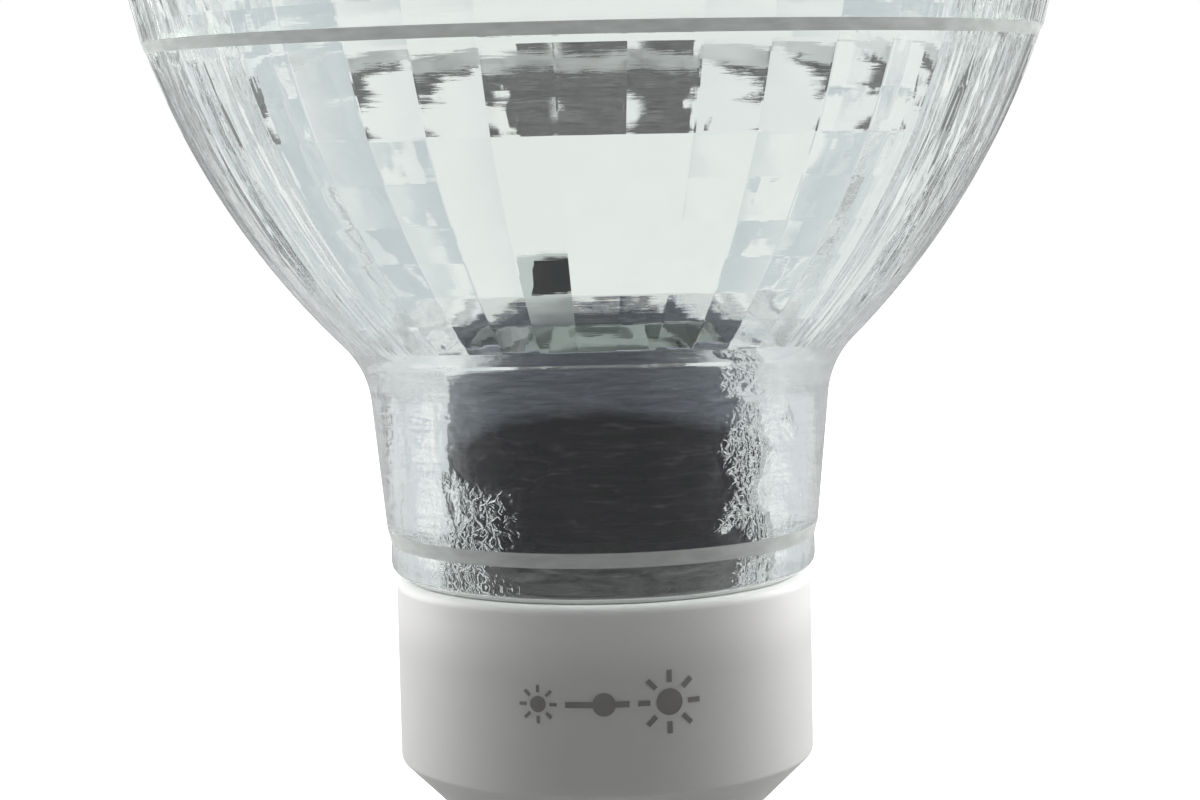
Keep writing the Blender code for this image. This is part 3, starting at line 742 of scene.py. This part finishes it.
def make_base():
    """The collar: a chamfered cup whose floor has a hole and a recess for each pin."""
    profile = [
        (BASE_RADIUS, BASE_TOP),
        (BASE_RADIUS, BASE_CHAMFER),
        (BASE_RADIUS - BASE_CHAMFER, BASE_BOTTOM),
        (0.0, BASE_BOTTOM),
        (0.0, BASE_FLOOR),
        (BASE_BORE, BASE_FLOOR),
        (BASE_BORE, BASE_TOP),
    ]
    profile = rounded(profile, {0: 0.5, 1: 0.3, 2: 0.25, 5: 0.4, 6: 0.2}, 5)
    axis_points = [i for i, p in enumerate(profile) if p[0] == 0.0]
    start = axis_points[1]
    ordered = profile[start:] + profile[:start]
    mesh = turned_mesh("base_collar", ordered)
    piece = add_piece("base_collar", mesh, "base_shell", slot="white_plastic")
    cutters = []
    for x in (-PIN_X, PIN_X):
        cutters.append(upright_cylinder("pin_hole", PIN_HOLE_RADIUS, -1.0, BASE_FLOOR + 1.0, x))
        cutters.append(upright_cylinder("pin_recess", PIN_RECESS_RADIUS, -1.0, PIN_RECESS_DEPTH, x))
    cut_from(piece, cutters)
    shade_by_angle(piece.data)
    print_on(piece)
    return piece


def ink_bar(start, end, width, steps=4):
    """A straight bar between two (along, up) points, as an outline and the faces inside it."""
    start = Vector(start)
    end = Vector(end)
    way = end - start
    half = Vector((-way.y, way.x)).normalized() * width / 2
    left = [start + way * i / steps + half for i in range(steps + 1)]
    right = [start + way * i / steps - half for i in range(steps + 1)]
    outline = left + right[::-1]
    last = len(outline) - 1
    faces = [(i, i + 1, last - i - 1, last - i) for i in range(steps)]
    return outline, outline, faces


def ink_disc(centre, radius, steps=32):
    """A disc, as an outline and the faces inside it."""
    centre = Vector(centre)
    outline = []
    for i in range(steps):
        turn = 2 * math.pi * i / steps
        outline.append(centre + Vector((math.cos(turn), math.sin(turn))) * radius)
    faces = [(steps, (i + 1) % steps, i) for i in range(steps)]
    return outline, outline + [centre], faces


def ink_sun(centre, size):
    """A disc with eight rays."""
    shapes = [ink_disc(centre, size * 0.42)]
    for i in range(8):
        turn = 2 * math.pi * i / 8
        way = Vector((math.cos(turn), math.sin(turn))) * size
        shapes.append(ink_bar(Vector(centre) + way * 0.62, Vector(centre) + way, size * 0.16, 2))
    return shapes


def print_on(piece):
    """A printed dimmer sign on the collar: a small sun, a slider and a larger sun. Each shape is a
    closed film of ink that is bent round the collar and sunk into it."""
    x, z = MARK_CENTRE
    shapes = ink_sun((x + SMALL_SUN[0], z), SMALL_SUN[1]) + ink_sun((x + LARGE_SUN[0], z), LARGE_SUN[1])
    left, right = SLIDER_ENDS
    shapes.append(ink_bar((x + left, z), (x + right, z), SLIDER_WIDTH, 10))
    shapes.append(ink_disc((x + SLIDER_KNOB[0], z), SLIDER_KNOB[1]))
    work = bmesh.new()
    work.from_mesh(piece.data)
    for outline, points, flat_faces in shapes:
        layers = []
        for radius in (BASE_RADIUS + INK_HEIGHT, BASE_RADIUS - INK_SINK):
            layer = []
            for along, up in points:
                turn = along / BASE_RADIUS
                place = Vector((radius * math.sin(turn), -radius * math.cos(turn), up)) * MM
                layer.append(work.verts.new(place))
            layers.append(layer)
        top, under = layers
        faces = [work.faces.new([top[i] for i in face]) for face in flat_faces]
        faces += [work.faces.new([under[i] for i in reversed(face)]) for face in flat_faces]
        count = len(outline)
        for i in range(count):
            j = (i + 1) % count
            faces.append(work.faces.new([top[i], top[j], under[j], under[i]]))
        bmesh.ops.recalc_face_normals(work, faces=faces)
        for face in faces:
            face.material_index = 1
    work.to_mesh(piece.data)
    work.free()


def make_pin(node, name, x):
    """A headed contact pin: turned, riveted over the base's floor, with a solder tip on top."""
    top = PIN_HIGH.z
    end = PIN_LOW.z
    head_radius = (PIN_HIGH.x - PIN_LOW.x) / 2
    head_top = end + PIN_HEAD_LENGTH
    rivet = BASE_FLOOR + 0.05
    rivet_top = rivet + 0.65
    profile = [
        (0.0, top),
        (PIN_TIP_RADIUS, top),
        (PIN_TIP_RADIUS, rivet_top),
        (PIN_RIVET_RADIUS, rivet_top),
        (PIN_RIVET_RADIUS, rivet),
        (PIN_NECK_RADIUS, rivet),
        (PIN_NECK_RADIUS, head_top),
        (head_radius, head_top),
        (head_radius, end),
        (0.0, end),
    ]
    profile = rounded(profile, {1: 0.35, 2: 0.2, 3: 0.25, 6: 0.12, 7: 0.2, 8: 0.5}, 5)
    return add_piece(name, turned_mesh(name, profile, (x, 0.0), 96), node, slot="nickel_plate")


def make_glue():
    """The silicone between sleeve and base, and the seam that it fills under the glass."""
    slack = 0.03
    inner = SLEEVE_RADIUS + slack
    outer = BASE_BORE - slack
    seam = FOOT_RADIUS - 0.85
    profile = [
        (seam, GLASS_FOOT - slack),
        (seam, BASE_TOP + slack),
        (outer, BASE_TOP + slack),
        (outer, GLUE_BOTTOM),
        (inner, GLUE_BOTTOM),
        (inner, GLASS_FOOT - slack),
    ]
    profile = rounded(profile, {0: 0.08, 1: 0.08, 3: 0.3, 4: 0.2, 5: 0.1})
    mesh = turned_mesh("silicone_bead", profile)
    return add_piece("silicone_bead", mesh, "adhesive_ring", slot="silicone")


def make_seal():
    """The bead round the lens."""
    inner = LENS_SEAT_RADIUS + 0.2
    profile = [
        (SEAL_RADIUS, SEAL_TOP),
        (SEAL_RADIUS, SEAL_BOTTOM),
        (inner, SEAL_BOTTOM),
        (inner, SEAL_TOP),
    ]
    profile = rounded(profile, {0: 0.12, 1: 0.12, 2: 0.18, 3: 0.18})
    return add_piece("lens_bead", turned_mesh("lens_bead", profile), "lens_seal_ring", slot="silicone")


def bead_height(x, y):
    """How high, from 0 to 1, a sheet of round beads on a honeycomb stands at a point."""
    pitch = LENS_BEAD_PITCH
    row_step = pitch * math.sqrt(0.75)
    row = round(y / row_step)
    best = pitch
    for near in (row - 1, row, row + 1):
        shift = pitch / 2 if near % 2 else 0.0
        column = round((x - shift) / pitch)
        best = min(best, math.hypot(x - shift - column * pitch, y - near * row_step))
    return max(0.0, 1.0 - (best / (pitch * 0.58)) ** 2)


def beaded_face(level, height, rings, segments):
    """Points of a beaded disc, ring by ring. The beads reach up to the level, or hang down from it
    if their height is negative, and they fade out at the edge."""
    beaded = LENS_RADIUS - LENS_EDGE
    points = []
    for ring in range(1, rings + 1):
        radius = beaded * ring / rings
        fade = min(1.0, (beaded - radius) / 0.4)
        base = level if height < 0.0 else level - height * fade
        for x, y, z in circle(radius, base, segments):
            points.append((x, y, z + height * fade * bead_height(x, y)))
    return points


def make_lens():
    """The front cover: a rim that is plain, and beads on both sides of the disc inside it."""
    segments = 300
    rings = 120
    floor = LENS_BOTTOM + 0.3
    under_height = LENS_BEAD_HEIGHT * 0.8
    points = beaded_face(LENS_TOP, LENS_BEAD_HEIGHT, rings, segments)
    points += beaded_face(floor, -under_height, rings, segments)
    side = rings * segments
    points += [(0.0, 0.0, LENS_TOP), (0.0, 0.0, floor - under_height)]
    faces = []
    for under in (0, 1):
        base = under * side
        hub = 2 * side + under
        faces += [(hub, base + i, base + (i + 1) % segments) for i in range(segments)]
        for ring in range(rings - 1):
            start = base + ring * segments
            faces += band(start, start + segments, segments)
    rim = [
        (LENS_RADIUS - 0.2, LENS_TOP),
        (LENS_RADIUS, LENS_TOP - 0.2),
        (LENS_RADIUS, LENS_BOTTOM),
        (LENS_RADIUS - LENS_EDGE + 0.3, LENS_BOTTOM),
    ]
    loops = [side - segments]
    for radius, height in rim:
        loops.append(len(points))
        points += circle(radius, height, segments)
    loops.append(2 * side - segments)
    for a, b in zip(loops, loops[1:]):
        faces += band(a, b, segments)
    mesh = mesh_from("beaded_front_lens", points, faces)
    face_outward(mesh)
    shade_by_angle(mesh, 40)
    return add_piece("beaded_front_lens", mesh, "front_lens", slot="lens_plastic")


def rounded_block(name, low, high, edge_round):
    """A block between two corners with round edges."""
    work = bmesh.new()
    bmesh.ops.create_cube(work, size=1.0)
    low = Vector(low)
    high = Vector(high)
    for v in work.verts:
        v.co = Vector((low[i] + high[i]) / 2 + v.co[i] * (high[i] - low[i]) for i in range(3)) * MM
    rounding = {"offset": edge_round * MM, "segments": 3, "profile": 0.5, "affect": "EDGES"}
    bmesh.ops.bevel(work, geom=work.edges[:], **rounding)
    mesh = bpy.data.meshes.new(name)
    work.to_mesh(mesh)
    work.free()
    return mesh


def make_white_led(node):
    """A small package with a sunk window of phosphor."""
    low, high = corners(node)
    centre = (low + high) / 2
    half_x = WHITE_LED_SIZE[0] / 2
    half_y = WHITE_LED_SIZE[1] / 2
    name = node + "_package"
    bottom = BOARD_TOP + LED_GAP
    top = bottom + high.z - low.z
    mesh = rounded_block(name, (-half_x, -half_y, bottom), (half_x, half_y, top), 0.08)
    work = bmesh.new()
    work.from_mesh(mesh)
    window = max(work.faces, key=lambda face: face.calc_center_median().z)
    bmesh.ops.inset_region(work, faces=[window], thickness=0.17 * MM, depth=0.0)
    bmesh.ops.inset_region(work, faces=[window], thickness=0.06 * MM, depth=-0.06 * MM)
    window.material_index = 1
    work.to_mesh(mesh)
    work.free()
    shade_by_angle(mesh)
    mesh.transform(Matrix.Rotation(math.atan2(centre.y, centre.x), 4, "Z"))
    mesh.transform(Matrix.Translation(Vector((centre.x, centre.y, 0.0)) * MM))
    slot = "phosphor" if node.startswith("warm") else "pale_phosphor"
    return add_piece(name, mesh, node, slot=slot)


def make_colour_led():
    """The package of the coloured chips: a round well filled with clouded silicone."""
    low, high = corners("colour_led")
    name = "colour_led_package"
    bottom = BOARD_TOP + LED_GAP
    top = bottom + high.z - low.z
    mesh = rounded_block(name, (low.x, low.y, bottom), (high.x, high.y, top), 0.12)
    piece = add_piece(name, mesh, "colour_led", slot="black_package")
    floor = top - COLOUR_LED_WELL_DEPTH
    cut_from(piece, [upright_cylinder("well", COLOUR_LED_WELL_RADIUS, floor, top + 1.0)])
    for polygon in piece.data.polygons:
        spot = polygon.center / MM
        if math.hypot(spot.x, spot.y) < COLOUR_LED_WELL_RADIUS and abs(spot.z - floor) < 0.01:
            polygon.material_index = 1
    shade_by_angle(piece.data)
    return piece


def make_sleeve():
    """The film tube, wrinkled by small moves of its points."""
    segments = 240
    rows = 90
    inner = SLEEVE_RADIUS - 0.4
    points = []
    faces = []
    for row in range(rows + 1):
        height = SLEEVE_BOTTOM + (SLEEVE_TOP - SLEEVE_BOTTOM) * row / rows
        for x, y, z in circle(1.0, height, segments):
            spot = Vector((x * SLEEVE_RADIUS, y * SLEEVE_RADIUS, z))
            crease = noise.noise(Vector((spot.x * 0.5, spot.y * 0.5, spot.z * 1.4)))
            crease += 0.5 * noise.noise(Vector((spot.x * 1.3, spot.y * 1.3, spot.z * 3.5)))
            radius = SLEEVE_RADIUS - SLEEVE_WALL * 0.5 + SLEEVE_WALL * 0.35 * crease
            points.append((x * radius, y * radius, z))
    for row in range(rows):
        faces += band(row * segments, (row + 1) * segments, segments)
    base = len(points)
    points += circle(inner, SLEEVE_BOTTOM, segments) + circle(inner, SLEEVE_TOP, segments)
    faces += band(0, base, segments)
    faces += band(base, base + segments, segments)
    faces += band(base + segments, rows * segments, segments)
    mesh = mesh_from("film_sleeve", points, faces)
    face_outward(mesh)
    shade_by_angle(mesh, 60)
    return add_piece("film_sleeve", mesh, "driver_sleeve", slot="sleeve_film")


# --- Stage, lights and camera ------------------------------------------------------------------


def make_stage():
    """A pale floor at the pins' ends. Seen directly it is nearly white, and it lights the lamp less
    than it would, as a floor some way below the lamp does. From below it is clear. The glass shows
    bands of pale blue-grey on it to the sides, and its front half dimmer."""
    level = cad_low[2] - FLOOR_GAP * MM
    bpy.ops.mesh.primitive_circle_add(vertices=96, radius=3.0, fill_type="NGON", location=(0, 0, level))
    floor = bpy.context.active_object
    floor.name = "floor"
    n = Finish("pale_floor")
    path = n.rays()
    direct = path["Is Camera Ray"]
    n.set(Roughness=0.9, Emission_Color=(*FLOOR_WHITE, 1.0))
    n.set(Emission_Strength=n.slope(direct, 0.0, 1.0, 0.0, 0.6))
    n.set(Base_Color=n.ramp(direct, (0.0, 0.3), (1.0, 0.84)))
    x, y, _ = n.split(n.place)
    across = n.math("DIVIDE", x, n.math("MAXIMUM", y, 0.05))
    aside = n.math("ABSOLUTE", across)
    bands = n.noise(9.0, 2.0, at=n.add("CombineXYZ", X=across, Y=n.times(y, 0.1)).outputs["Vector"])
    shade = n.times(n.ease(aside, 0.06, 0.25), n.ease(aside, 1.3, 0.7), n.ease(bands, 0.44, 0.5))
    colour = n.ramp(shade, (0.0, FLOOR_WHITE), (1.0, FLOOR_BLUE_GREY))
    strength = n.ease(y, -0.04, 0.02, 0.3 * THROUGH_WHITE, THROUGH_WHITE)
    glowing = n.add("Emission", Color=colour, Strength=strength).outputs[0]
    above = n.switch(path["Is Transmission Ray"], n.shader.outputs[0], glowing)
    below = n.add("BsdfTransparent").outputs[0]
    n.show(n.switch(n.add("NewGeometry").outputs["Backfacing"], above, below))
    floor.data.materials.append(n.material)


class Surroundings(Nodes):
    """The studio round the lamp, as numbers worked out from a direction."""

    def __init__(self):
        world = bpy.data.worlds.new("studio")
        bpy.context.scene.world = world
        world.use_nodes = True
        super().__init__(world.node_tree, "Generated")
        self.x, self.y, self.z = self.split(self.place)

    def set(self, **values):
        """Gives the background's inputs links."""
        for name, value in values.items():
            self.feed(self.tree.nodes["Background"].inputs[name], value)


def dark_patch(w):
    """How dark the studio is, behind the lamp: a brush-edged patch above the horizon."""
    ahead = w.math("MAXIMUM", w.y, 0.05)
    side = w.math("ABSOLUTE", w.math("DIVIDE", w.x, ahead))
    rise = w.math("DIVIDE", w.z, ahead)
    brush = w.noise(1.0, 3.0, stretch=(25.0, 25.0, 600.0))
    ragged = w.times(w.math("SUBTRACT", brush, 0.5), 0.05)
    half_width = w.math("ADD", w.ease(rise, 0.02, 0.07, 0.037, 0.13), ragged)
    inside = w.ease(w.math("SUBTRACT", half_width, side), -0.003, 0.003)
    streaks = w.ease(brush, 0.3, 0.75, 1.0, 0.75)
    return w.times(inside, w.ease(rise, 0.0, 0.01), streaks, w.ease(rise, 0.9, 0.7))


def make_world():
    """A white studio. What the lamp's glass shows of it has soft upright bands of pale blue-grey to
    the sides and a dark patch behind the lamp. What it reflects and is lit by is dimmer in front."""
    w = Surroundings()
    path = w.rays()
    in_glass = path["Is Transmission Ray"]
    open_air = w.math("SUBTRACT", 1.0, w.times(dark_patch(w), 0.95))
    through = w.times(w.ease(w.y, -0.5, 0.3, 0.42, 1.0), open_air, THROUGH_WHITE)
    lit = w.ease(w.y, -0.25, 0.4, 0.1, 1.0)
    strength = w.math("MAXIMUM", w.mix("FLOAT", in_glass, lit, through), path["Is Camera Ray"])
    stripes = w.ease(w.noise(1.0, 2.0, stretch=(6.0, 6.0, 0.72)), 0.45, 0.53)
    bands = w.times(w.ease(w.math("ABSOLUTE", w.x), 0.1, 0.28, 0.1, 1.0), stripes, in_glass)
    w.set(Strength=strength, Color=w.mix("RGBA", bands, WHITE, BLUE_GREY))


def add_softbox(name, place, width, height, power):
    """A studio light that faces the middle of the lamp and isn't seen through its glass. Its place
    and size are in metres."""
    target = Vector((0.0, 0.0, 0.02))
    data = bpy.data.lights.new(name, "AREA")
    data.shape = "RECTANGLE"
    data.size = width
    data.size_y = height
    data.energy = power
    light = bpy.data.objects.new(name, data)
    bpy.context.scene.collection.objects.link(light)
    light.location = place
    light.rotation_mode = "QUATERNION"
    light.rotation_quaternion = (target - light.location).to_track_quat("-Z", "Y")
    light.visible_transmission = False


def make_lights():
    add_softbox("left_softbox", (-0.35, 0.15, 0.12), 0.25, 0.4, 1.3)
    add_softbox("right_softbox", (0.35, 0.15, 0.12), 0.25, 0.4, 1.6)
    add_softbox("top_softbox", (0.0, 0.1, 0.5), 0.4, 0.4, 1.5)


def make_camera():
    """Close in front of the lamp, level with the bowl and looking slightly down, in metres."""
    distance = 0.148
    height = 0.0371
    aim = Vector((0.0, 0.0, 0.0219))
    roll = math.radians(1.25)
    data = bpy.data.cameras.new("camera")
    data.lens = 81.75
    data.sensor_width = 36.0
    data.clip_start = 0.01
    camera = bpy.data.objects.new("camera", data)
    bpy.context.scene.collection.objects.link(camera)
    camera.location = (0.0, -distance, height)
    camera.rotation_mode = "QUATERNION"
    look = (aim - camera.location).to_track_quat("-Z", "Y")
    camera.rotation_quaternion = look @ Matrix.Rotation(-roll, 3, "Z").to_quaternion()
    bpy.context.scene.camera = camera


def allow_many_bounces():
    """Light that is caught in the thick glass needs many inner reflections before it leaves."""
    cycles = bpy.context.scene.cycles
    cycles.max_bounces = 32
    cycles.glossy_bounces = 24
    cycles.transmission_bounces = 32


def paint(obj, *materials):
    """Gives an object its materials and keeps which of them each face has."""
    picks = [polygon.material_index for polygon in obj.data.polygons]
    obj.data.materials.clear()
    for material in materials:
        obj.data.materials.append(material)
    for polygon, pick in zip(obj.data.polygons, picks):
        polygon.material_index = min(pick, len(materials) - 1)


def paint_boards(nodes):
    """The parts of the light engine and the driver that keep their plain shape. A finish here is a
    name, a dark and a pale tone, a roughness and, for a metal, 1."""
    plain = {
        "thermal_pad": ("grey_pad", (0.3, 0.32, 0.35), (0.4, 0.42, 0.45), 0.75),
        "heat_spreader": ("drawn_aluminium", (0.6, 0.61, 0.62), (0.75, 0.76, 0.77), 0.35, 1.0),
        "led_board_screw_1": ("screw_steel", (0.2, 0.21, 0.21), (0.28, 0.29, 0.29), 0.6, 1.0),
        "driver_board": ("green_mask", (0.015, 0.09, 0.04), (0.03, 0.14, 0.07), 0.4),
        "chip_antenna": ("moulded_epoxy", (0.015, 0.015, 0.016), (0.03, 0.03, 0.032), 0.5),
        "wifi_shield_can": ("tinned_steel", (0.5, 0.5, 0.5), (0.66, 0.66, 0.65), 0.25, 1.0),
        "input_capacitor": ("capacitor_film", (0.02, 0.025, 0.05), (0.05, 0.06, 0.1), 0.3),
        "inductor_core": ("ferrite", (0.05, 0.05, 0.05), (0.09, 0.09, 0.09), 0.7),
        "film_capacitor": ("epoxy_box", (0.6, 0.38, 0.06), (0.75, 0.5, 0.1), 0.35),
        "fuse_resistor": ("coated_resistor", (0.22, 0.36, 0.28), (0.32, 0.48, 0.38), 0.5),
        "pin_wire_live": ("red_insulation", (0.4, 0.03, 0.02), (0.55, 0.05, 0.04), 0.45),
        "pin_wire_neutral": ("blue_insulation", (0.03, 0.07, 0.35), (0.05, 0.1, 0.45), 0.45),
    }
    finishes = {node: plain_finish(*look) for node, look in plain.items()}
    finishes["led_board"] = board_mask()
    finishes["wifi_module_board"] = radio_board()
    finishes["inductor_winding"] = winding_wire()
    shared = {
        "led_board_screw_2": "led_board_screw_1",
        "module_header": "chip_antenna",
        "bridge_rectifier": "chip_antenna",
        "driver_chip": "chip_antenna",
        "output_capacitor": "input_capacitor",
    }
    for node, finish in finishes.items():
        paint(nodes[node], finish)
    for node, like in shared.items():
        paint(nodes[node], finishes[like])


def dull_finish(name, dark, pale):
    """For the light emitters: hardly any shine."""
    return plain_finish(name, dark, pale, 0.6, shine=0.08)


def winding_wire():
    """Enamelled copper wire in level turns, with painted shade in the grooves between them."""
    n = Finish("enamelled_winding")
    wave = n.add("TexWave", Vector=n.place, Scale=550.0)
    wave.bands_direction = "Z"
    turns_and_groove_shade = wave.outputs["Fac"]
    # Painted shade: the copper is darker in the grooves between turns, and pale on their tops.
    n.set(Metallic=1.0, Base_Color=n.ramp(turns_and_groove_shade, (0.0, (0.25, 0.08, 0.03)), (0.6, (0.7, 0.3, 0.13))))
    n.set(Roughness=n.slope(turns_and_groove_shade, 0.0, 1.0, 0.5, 0.25), Normal=n.bump(turns_and_groove_shade, 0.08))
    return n.material


def nickel_plate():
    """Turned and plated, with fine rings round the pin."""
    n = Finish("nickel_plate")
    marks = n.noise(700.0, 4.0, stretch=(0.1, 0.1, 12.0))
    cloud = n.noise(500.0, 4.0)
    n.tones(cloud, (0.62, 0.6, 0.56), (0.76, 0.74, 0.7))
    n.set(Metallic=1.0, Roughness=n.slope(n.math("ADD", marks, cloud), 0.7, 1.3, 0.15, 0.42))
    n.set(Normal=n.bump(marks, 2 * GRAIN_DEPTH))
    return n.material


def main():
    make_camera()
    make_stage()
    make_world()
    make_lights()
    bpy.context.scene.view_settings.view_transform = "Standard"
    allow_many_bounces()
    paint(make_glass_cup(), clear_glass(), bore_glass(), ground_glass())
    ink = plain_finish("grey_ink", (0.27, 0.26, 0.25), (0.34, 0.33, 0.32), 0.45)
    paint(make_base(), white_plastic(), ink)
    paint(make_sleeve(), sleeve_film())
    silicone = plain_finish("cured_silicone", (0.7, 0.71, 0.7), (0.78, 0.79, 0.78), 0.5)
    paint(make_glue(), silicone)
    paint(make_seal(), silicone)
    paint(make_lens(), lens_plastic())
    nickel = nickel_plate()
    paint(make_pin("contact_pin_live", "live_pin", -PIN_X), nickel)
    paint(make_pin("contact_pin_neutral", "neutral_pin", PIN_X), nickel)
    package = dull_finish("grey_led_package", (0.22, 0.25, 0.235), (0.27, 0.3, 0.285))
    warm = dull_finish("warm_phosphor", (0.27, 0.27, 0.2), (0.32, 0.31, 0.24))
    cool = dull_finish("cool_phosphor", (0.26, 0.28, 0.23), (0.31, 0.33, 0.27))
    clear_well = dull_finish("clouded_silicone_well", (0.21, 0.24, 0.23), (0.26, 0.29, 0.28))
    for i in range(4):
        paint(make_white_led(f"warm_led_{i + 1}"), package, warm)
    for i in range(3):
        paint(make_white_led(f"cool_led_{i + 1}"), package, cool)
    paint(make_colour_led(), package, clear_well)
    paint_boards(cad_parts)


main()
